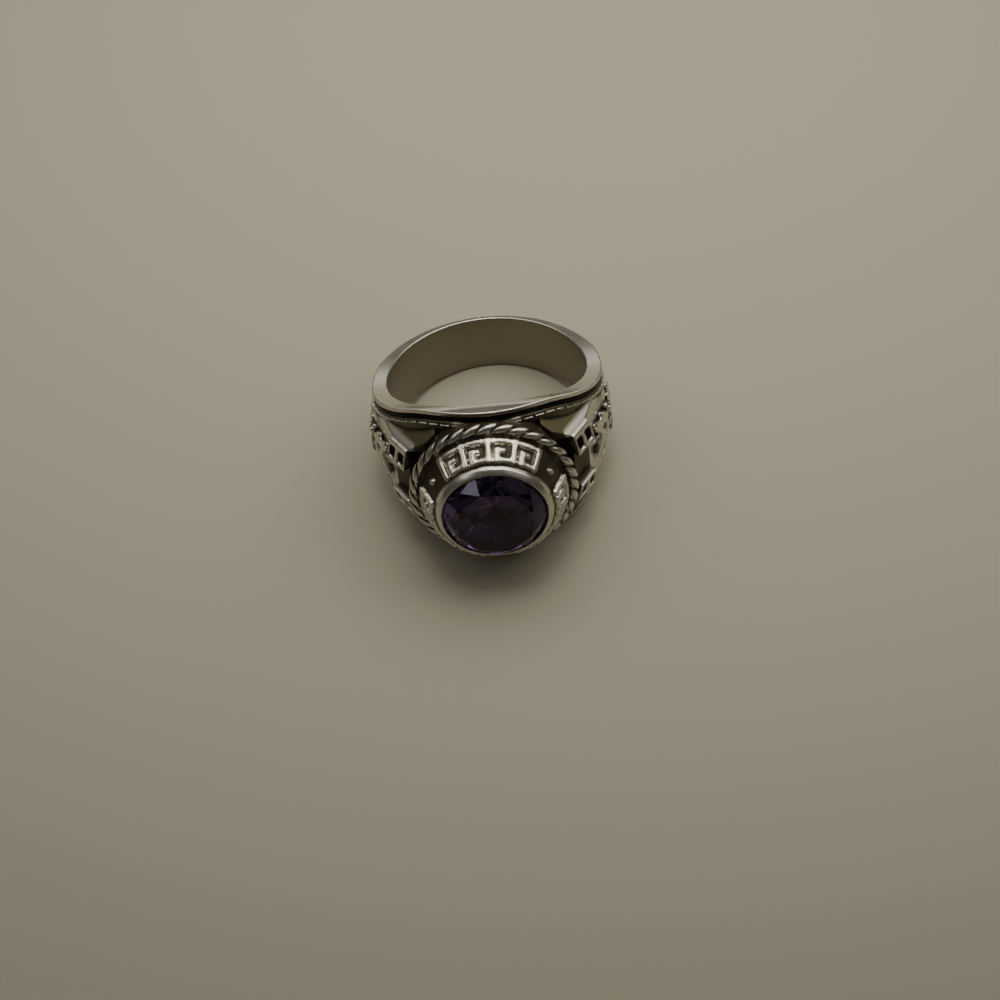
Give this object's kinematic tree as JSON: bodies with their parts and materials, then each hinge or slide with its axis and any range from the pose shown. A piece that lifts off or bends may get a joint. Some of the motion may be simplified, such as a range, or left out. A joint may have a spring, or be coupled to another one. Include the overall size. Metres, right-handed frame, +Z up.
{
  "type": "gemstone ring",
  "caption": "Signet ring in antiqued silver with a round dark violet faceted stone, a rope border, a key pattern, window frames and laurel relief on the shoulders.",
  "frame": {"origin": "on the floor, under the middle of the ring as it lies on its side", "axes": "+Z up; the head and its stone face -Y; +X is to the right, seen from the stone's side"},
  "size_m": [0.0236, 0.0292, 0.0166],
  "materials": {
    "antiqued_silver": "cast and polished, with dark oxide left in the recesses",
    "violet_stone": "faceted and polished"
  },
  "bodies": {
    "root": {"ring_body": "antiqued_silver", "stone": "violet_stone"}
  },
  "joints": []
}
